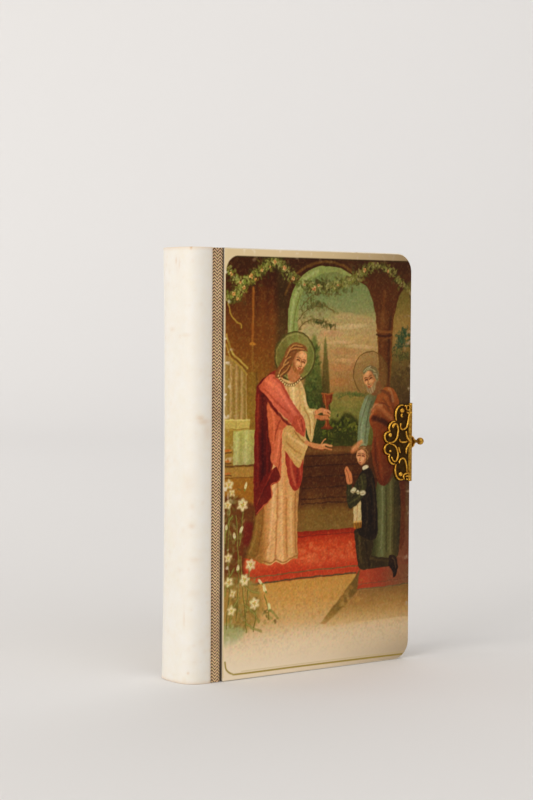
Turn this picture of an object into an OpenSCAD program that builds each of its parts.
// Small pocket prayer book, standing upright on its tail edge.
// X runs across the cover from the spine (-X) to the fore-edge (+X), Y from the
// front cover (-Y) to the back cover (+Y), and Z up from the tail to the head.
// The outline is drawn from the spine-side edge of the boards and from the front
// face, and centred() then moves it to the middle of the foot of the whole book.

/* [Covers] */
// Height of the boards, tail to head
book_h = 115; // [100:1:130]
// Width of a board, joint edge to fore-edge
board_w = 64.8; // [58:0.2:72]
// Thickness of the closed book over both covers
book_t = 17.6; // [16:0.2:20]
// Radius of the boards' two fore-edge corners
corner_r = 5.2; // [3:0.1:7]
// Thickness of the printed sheet on the front cover
print_t = 0.12; // [0.08:0.01:0.2]
// Thickness of the celluloid skin over a board
skin_t = 0.8; // [0.5:0.05:1]
// Thickness of the millboard inside a cover
millboard_t = 1.73; // [1.4:0.01:2]
// Thickness of the endpaper pasted inside a cover
pastedown_t = 0.15; // [0.1:0.01:0.2]

/* [Spine and joints] */
// Width of the open cloth joint beside each board
joint_w = 3.3; // [3:0.1:4]
// How far the spine shell stands out beyond the joints
spine_depth = 7.45; // [6:0.05:8]
// Wall of the celluloid spine shell
shell_t = 1; // [0.7:0.05:1.2]
// How far the spine shell sits below the faces of the covers
shell_inset = 0.5; // [0.5:0.05:0.8]
// Thickness of the card lining inside the shell
lining_t = 0.4; // [0.3:0.05:0.6]
// Thickness of the joint cloth
cloth_t = 0.35; // [0.25:0.05:0.5]

/* [Text block] */
// Number of folded gatherings, the four that turn with the covers included
gathering_n = 12; // [10:2:14]
// How far the boards stand out beyond the leaves at head and tail
square_h = 2; // [1.5:0.1:3]
// Width of a leaf, fold to fore-edge
leaf_w = 64.2; // [60:0.2:65]
// Depth of the text block's rounded back
round_depth = 3.6; // [2.5:0.1:4]
// Thickness of a flyleaf
flyleaf_t = 0.15; // [0.1:0.01:0.2]

/* [Clasp] */
// Height of the clasp's middle above the tail
clasp_z = 61.7; // [50:0.1:65]
// Height of a clasp plate
plate_h = 22.2; // [18:0.2:26]
// Reach of a clasp plate over the cover
plate_w = 10; // [8:0.1:12]
// Thickness of a clasp plate, its raised scrolls included
plate_t = 0.7; // [0.5:0.05:0.9]
// Thickness of the flange that folds over the fore-edge
flange_t = 0.5; // [0.4:0.05:0.6]
// Radius of the stud's ball
ball_r = 1.05; // [0.9:0.05:1.2]
// Thickness of the hasp
hasp_t = 0.45; // [0.35:0.05:0.5]
// Width of the hasp's strap
hasp_w = 3.4; // [3:0.1:3.6]

/* [Hidden] */
$fn = 48;

fit = 0.05;                                    // gap between neighbours that move apart
mid_y = book_t / 2;
cover_t = print_t + skin_t + millboard_t + pastedown_t;
board_inner_y = cover_t - pastedown_t;
leaf_h = book_h - 2 * square_h;

// Rounded back of the text block: an arc through the two shoulders and the middle.
block_front_y = cover_t + fit + flyleaf_t + fit;
block_half_t = mid_y - block_front_y;
shoulder_x = -2.2;
back_r = (block_half_t * block_half_t + round_depth * round_depth) / (2 * round_depth);
back_centre_x = shoulder_x - round_depth + back_r;
back_half_angle = asin(block_half_t / back_r);
gathering_pitch = 2 * block_half_t / gathering_n;
gathering_t = gathering_pitch - fit;
tape_t = 0.25;
mull_t = 0.25;
thread_r = 0.1;
tape_w = 7;
tape_zs = [book_h * 0.25, book_h * 0.5, book_h * 0.75];
kettle_zs = [book_h * 0.1, book_h * 0.9];
band_r = 0.75;

// The leaves that turn start at these places, so that the folds stay sewn.
fold_end_x = 0.35;
flyleaf_x = 0.45;
first_x = 0.75;
second_x = 1.05;

// Clasp places, counted from the fore-edge of the boards.
edge_x = board_w;
stud_y = 1.6;
neck_r = 0.4;
collar_r = 1.15;
collar_x = edge_x + 1.95;
collar_end_x = collar_x + 0.2;
cone_end_x = edge_x + 3.3;
cone_end_r = 0.42;
ball_x = edge_x + 4.95;
shank_l = 3;
hasp_gap = 0.15;
hasp_x = edge_x + flange_t + hasp_gap;
eye_r = 1.3;
eye_run = 0.5;
eye_rim = 0.5;
slit_w = 1;
hinge_x = hasp_x + hasp_t / 2;
hinge_y = book_t - 0.6;
knuckle_r = 0.85;
pin_r = 0.35;
pin_clear = 0.03;
knuckle_w = 3.5;
knuckle_gap = 0.15;
outer_knuckle_w = 1.6;
clasp_pin_r = 0.35;
clasp_pin_places = [[-3.5, 8.9], [-3.5, -8.9], [-7.8, 2.3], [-7.8, -2.3]];
clasp_pin_l = 1.9;
clasp_head_r = 0.75;
clasp_head_t = 0.25;

// Middle of the foot of the whole book.
spine_x = -joint_w - spine_depth;
centre_x = (spine_x + ball_x + ball_r) / 2;
centre_y = mid_y;

ivory = [0.93, 0.89, 0.8];
gold = [0.78, 0.58, 0.2];
paper = [0.94, 0.9, 0.8];
gilt = [0.8, 0.62, 0.28];
card = [0.72, 0.64, 0.5];
cloth = [0.46, 0.33, 0.22];

module centred() {
    translate([-centre_x, -centre_y, 0]) children();
}

// Mirrors a piece of the front cover into its twin on the back cover.
module on_back() {
    translate([0, book_t, 0]) mirror([0, 1, 0]) children();
}

// Stands a flat outline, drawn in X and Z, up as a sheet from y to y + t.
module sheet(y, t) {
    translate([0, y + t, 0]) rotate([90, 0, 0]) linear_extrude(t) children();
}

// Rectangle from x0 to x1 and z0 to z1, with its two fore-edge corners rounded.
module leaf_outline(x0, x1, z0, z1, r) {
    translate([x0, z0]) square([x1 - x0 - r, z1 - z0]);
    translate([x0, z0 + r]) square([x1 - x0, z1 - z0 - 2 * r]);
    for (z = [z0 + r, z1 - r]) translate([x1 - r, z]) circle(r);
}

// ---- spine ----

// Half of a rounded square: flat-sided near the joints and well rounded at the back.
spine_power = 2.9;
function spine_arc(half_t, depth, steps = 40) = [
    for (i = [0 : steps])
        let (a = -90 + 180 * i / steps, c = cos(a), s = sin(a))
        [-joint_w - depth * pow(abs(c), 2 / spine_power),
         mid_y + half_t * sign(s) * pow(abs(s), 2 / spine_power)]
];

function reversed(list) = [for (i = [len(list) - 1 : -1 : 0]) list[i]];

module spine_wall(outer_inset, wall) {
    half_t = mid_y - shell_inset - outer_inset;
    depth = spine_depth - outer_inset;
    polygon(concat(spine_arc(half_t, depth), reversed(spine_arc(half_t - wall, depth - wall))));
}

module spine_shell() {
    color(ivory) centred() linear_extrude(book_h) spine_wall(0, shell_t);
}

module spine_lining() {
    color(card) centred() translate([0, 0, square_h])
        linear_extrude(leaf_h) spine_wall(shell_t + cloth_t + 4 * fit, lining_t);
}

// ---- rounded back of the text block ----

module back_wedge(r) {
    reach = 2 * r;
    polygon([[0, 0], [-reach * cos(back_half_angle), -reach * sin(back_half_angle)],
             [-reach, 0], [-reach * cos(back_half_angle), reach * sin(back_half_angle)]]);
}

module back_band(r, t, z, h) {
    translate([back_centre_x, mid_y, z]) linear_extrude(h) intersection() {
        difference() {
            circle(r + t, $fn = 96);
            circle(r, $fn = 96);
        }
        back_wedge(r);
    }
}

module spine_mull() {
    color([0.86, 0.82, 0.72]) centred()
        back_band(back_r + tape_t + 2 * fit, mull_t, square_h + 6, leaf_h - 12);
}

module sewing_tapes() {
    color([0.8, 0.74, 0.6]) centred()
        for (z = tape_zs) back_band(back_r + fit, tape_t, z - tape_w / 2, tape_w);
}

module back_bead(r, bead_r, z) {
    translate([back_centre_x, mid_y, z]) rotate([0, 0, 180 - back_half_angle])
        rotate_extrude(angle = 2 * back_half_angle, $fn = 96) translate([r, 0]) circle(bead_r, $fn = 20);
}

module sewing_threads() {
    color([0.9, 0.86, 0.76]) centred()
        for (z = kettle_zs) back_bead(back_r + fit + thread_r, thread_r, z);
}

module headband() {
    color([0.62, 0.2, 0.16]) centred()
        back_bead(back_r - 0.4, band_r, square_h + leaf_h + band_r);
}

module tailband() {
    color([0.62, 0.2, 0.16]) centred() back_bead(back_r - 0.4, band_r, square_h - band_r);
}

// ---- gatherings and flyleaves ----

function gathering_y(i) = block_front_y + fit / 2 + i * gathering_pitch;
function gathering_reach(i) =
    max(abs(gathering_y(i) - mid_y), abs(gathering_y(i) + gathering_t - mid_y));
function fold_x(i) = back_centre_x - sqrt(back_r * back_r - pow(gathering_reach(i), 2));

module gathering(i, from_x) {
    sheet(gathering_y(i), gathering_t)
        leaf_outline(from_x, fold_x(i) + leaf_w, square_h, square_h + leaf_h, corner_r - square_h);
}

module middle_gatherings() {
    color(gilt) centred() for (i = [2 : gathering_n - 3]) gathering(i, fold_x(i));
}

module turning_folds() {
    color(paper) centred() for (i = [0, 1, gathering_n - 2, gathering_n - 1])
        translate([fold_x(i), gathering_y(i), square_h])
            cube([fold_end_x - fold_x(i), gathering_t, leaf_h]);
}

module first_gathering() {
    color(gilt) centred() gathering(0, first_x);
}

module second_gathering() {
    color(gilt) centred() gathering(1, second_x);
}

module last_gathering() {
    color(gilt) centred() gathering(gathering_n - 1, first_x);
}

module second_last_gathering() {
    color(gilt) centred() gathering(gathering_n - 2, second_x);
}

module flyleaf() {
    sheet(cover_t + fit, flyleaf_t)
        leaf_outline(flyleaf_x, shoulder_x + leaf_w, square_h, square_h + leaf_h, corner_r - square_h);
}

module front_flyleaf() {
    color(paper) centred() flyleaf();
}

module back_flyleaf() {
    color(paper) centred() on_back() flyleaf();
}

// ---- joint cloth: tucked under the spine shell, then open beside the board ----

module joint_cloth() {
    tuck_y = shell_inset + shell_t + 2 * fit;
    open_y = 1;
    tuck_x = -joint_w - 1.6;
    turn_x = -joint_w + 0.35;
    linear_extrude(book_h) polygon([
        [tuck_x, tuck_y], [-joint_w + 0.1, tuck_y], [turn_x, open_y], [-0.1, open_y],
        [-0.1, open_y + cloth_t], [turn_x + cloth_t, open_y + cloth_t],
        [-joint_w + 0.1 + cloth_t, tuck_y + cloth_t], [tuck_x, tuck_y + cloth_t]
    ]);
}

module front_joint_cloth() {
    color(cloth) centred() joint_cloth();
}

module back_joint_cloth() {
    color(cloth) centred() on_back() joint_cloth();
}

// ---- a cover: celluloid skin, millboard, pasted endpaper ----

module cover_outline(inset) {
    leaf_outline(inset, board_w - inset, inset, book_h - inset, corner_r - inset);
}

module clasp_pin_holes() {
    for (p = clasp_pin_places)
        translate([edge_x + p[0], 0, clasp_z + p[1]]) rotate([-90, 0, 0]) cylinder(h = clasp_pin_l, r = clasp_pin_r);
}

module panel(face_y) {
    difference() {
        sheet(face_y, board_inner_y - face_y) cover_outline(0);
        sheet(print_t + skin_t, board_inner_y) cover_outline(skin_t);
        clasp_pin_holes();
    }
}

module millboard() {
    difference() {
        sheet(print_t + skin_t, millboard_t) cover_outline(skin_t);
        clasp_pin_holes();
    }
}

module pastedown() {
    sheet(board_inner_y, pastedown_t) leaf_outline(1, board_w - 1.8, 1.8, book_h - 1.8, corner_r - 1.8);
}

module shank_hole() {
    translate([edge_x - shank_l, stud_y, clasp_z]) rotate([0, 90, 0]) cylinder(h = shank_l + 1, r = neck_r);
}

module front_panel() {
    color(ivory) centred() difference() {
        panel(print_t);
        shank_hole();
    }
}

// Margins of bare celluloid round the printed sheet. It runs to the fore-edge.
print_margin = [0.7, 1.5, 2.1];

module front_picture() {
    color([0.5, 0.36, 0.2]) centred() difference() {
        sheet(0, print_t) leaf_outline(
            print_margin[0], board_w, print_margin[1], book_h - print_margin[2], corner_r - 1);
        clasp_pin_holes();
    }
}

module front_board() {
    color(card) centred() difference() {
        millboard();
        shank_hole();
    }
}

module front_pastedown() {
    color(paper) centred() pastedown();
}

module back_panel() {
    color(ivory) centred() on_back() panel(0);
}

module back_board() {
    color(card) centred() on_back() millboard();
}

module back_pastedown() {
    color(paper) centred() on_back() pastedown();
}

// ---- clasp ----

// Lobes of the plate's upper half: distance in from the fore-edge, height, radius.
plate_lobes = [[7.8, 2.15, 1.95], [6.5, 4.4, 1.85], [4, 7.9, 1.85], [3.7, 8.8, 1.7], [1.2, 9.7, 1.4]];
// Pierced gaps of the upper half, the same way.
plate_gaps = [[6.2, 2.6, 0.75], [3.2, 5.9, 0.9], [3.3, 2.2, 0.9], [1.7, 4.4, 0.55]];

module plate_outline() {
    difference() {
        union() {
            translate([-6.4, -4.4]) square([6.4, 8.8]);
            translate([-4.4, -8.4]) square([4.4, 16.8]);
            translate([-7.3, 0]) circle(1.4);
            for (side = [1, -1], lobe = plate_lobes) translate([-lobe[0], side * lobe[1]]) circle(lobe[2]);
        }
        for (side = [1, -1], gap = plate_gaps) translate([-gap[0], side * gap[1]]) circle(gap[2]);
        for (p = clasp_pin_places) translate(p) circle(clasp_pin_r);
    }
}

// A pierced face on the cover and a plain flange that folds over the fore-edge.
module clasp_plate() {
    translate([edge_x, 0, clasp_z]) {
        sheet(-plate_t, plate_t) plate_outline();
        translate([0, -plate_t, -plate_h / 2]) cube([flange_t, plate_t + cover_t - pastedown_t, plate_h]);
    }
}

module front_clasp_plate() {
    color(gold) centred() difference() {
        clasp_plate();
        shank_hole();
    }
}

module clasp_pins() {
    for (p = clasp_pin_places) translate([edge_x + p[0], -plate_t, clasp_z + p[1]]) rotate([-90, 0, 0]) {
        cylinder(h = plate_t + clasp_pin_l, r = clasp_pin_r);
        translate([0, 0, -clasp_head_t]) cylinder(h = clasp_head_t, r = clasp_head_r);
    }
}

module front_clasp_pins() {
    color(gold) centred() clasp_pins();
}

module back_clasp_pins() {
    color(gold) centred() on_back() clasp_pins();
}

// One turned piece: shank, neck, tapered collar and ball, on an axis along X.
module catch_stud() {
    axis = [
        [0, -shank_l], [neck_r, -shank_l], [neck_r, collar_x - edge_x], [collar_r, collar_x - edge_x],
        [collar_r, collar_end_x - edge_x], [cone_end_r, cone_end_x - edge_x],
        [cone_end_r, ball_x - edge_x], [0, ball_x - edge_x]
    ];
    color(gold) centred() translate([edge_x, stud_y, clasp_z]) rotate([0, 90, 0]) {
        rotate_extrude() polygon(axis);
        translate([0, 0, ball_x - edge_x]) sphere(ball_r);
    }
}

module knuckle(z, w, bore_r) {
    translate([hinge_x, hinge_y, clasp_z + z]) difference() {
        cylinder(h = w, r = knuckle_r);
        translate([0, 0, -1]) cylinder(h = w + 2, r = bore_r);
    }
}

outer_knuckle_z = knuckle_w / 2 + knuckle_gap;

// The back plate carries the hinge's two outer knuckles, with a notch for the middle one.
module back_clasp_plate() {
    notch_w = knuckle_w + 2 * knuckle_gap;
    color(gold) centred() {
        difference() {
            on_back() clasp_plate();
            translate([edge_x - 1, hinge_y - knuckle_r - 0.3, clasp_z - notch_w / 2])
                cube([3, 2 * knuckle_r + 2, notch_w]);
            for (side = [-1, 1]) translate([hinge_x, hinge_y, clasp_z + side * (outer_knuckle_z + outer_knuckle_w / 2)])
                cylinder(h = outer_knuckle_w, r = knuckle_r - 0.1, center = true);
        }
        knuckle(outer_knuckle_z, outer_knuckle_w, pin_r);
        knuckle(-outer_knuckle_z - outer_knuckle_w, outer_knuckle_w, pin_r);
    }
}

module hasp_outline() {
    tip_y = stud_y - eye_run;
    difference() {
        union() {
            translate([tip_y, 0]) circle(eye_r + eye_rim);
            translate([stud_y, 0]) circle(eye_r + eye_rim);
            translate([tip_y, -eye_r - eye_rim]) square([eye_run, 2 * (eye_r + eye_rim)]);
            translate([stud_y, -hasp_w / 2]) square([hinge_y - stud_y, hasp_w]);
        }
        translate([tip_y, 0]) circle(eye_r);
        translate([stud_y, 0]) circle(eye_r);
        translate([tip_y, -eye_r]) square([eye_run, 2 * eye_r]);
        translate([tip_y - 2 * eye_r, -slit_w / 2]) square([2 * eye_r, slit_w]);
    }
}

// A strap with a split eye at its tip and the middle knuckle of the hinge at its root.
module hasp() {
    color(gold) centred() {
        difference() {
            translate([hasp_x, 0, clasp_z]) rotate([90, 0, 90]) linear_extrude(hasp_t) hasp_outline();
            translate([hinge_x, hinge_y, clasp_z - hasp_w]) cylinder(h = 2 * hasp_w, r = knuckle_r - 0.1);
        }
        knuckle(-knuckle_w / 2, knuckle_w, pin_r + pin_clear);
    }
}

module hasp_pin() {
    pin_l = 2 * (outer_knuckle_z + outer_knuckle_w) + 0.4;
    color(gold) centred() translate([hinge_x, hinge_y, clasp_z - pin_l / 2]) cylinder(h = pin_l, r = pin_r);
}

spine_shell();
spine_lining();
spine_mull();
sewing_tapes();
sewing_threads();
headband();
tailband();
middle_gatherings();
turning_folds();
front_joint_cloth();
back_joint_cloth();
front_panel();
front_picture();
front_board();
front_pastedown();
front_clasp_plate();
front_clasp_pins();
catch_stud();
back_panel();
back_board();
back_pastedown();
back_clasp_plate();
back_clasp_pins();
hasp();
hasp_pin();
front_flyleaf();
first_gathering();
second_gathering();
back_flyleaf();
last_gathering();
second_last_gathering();
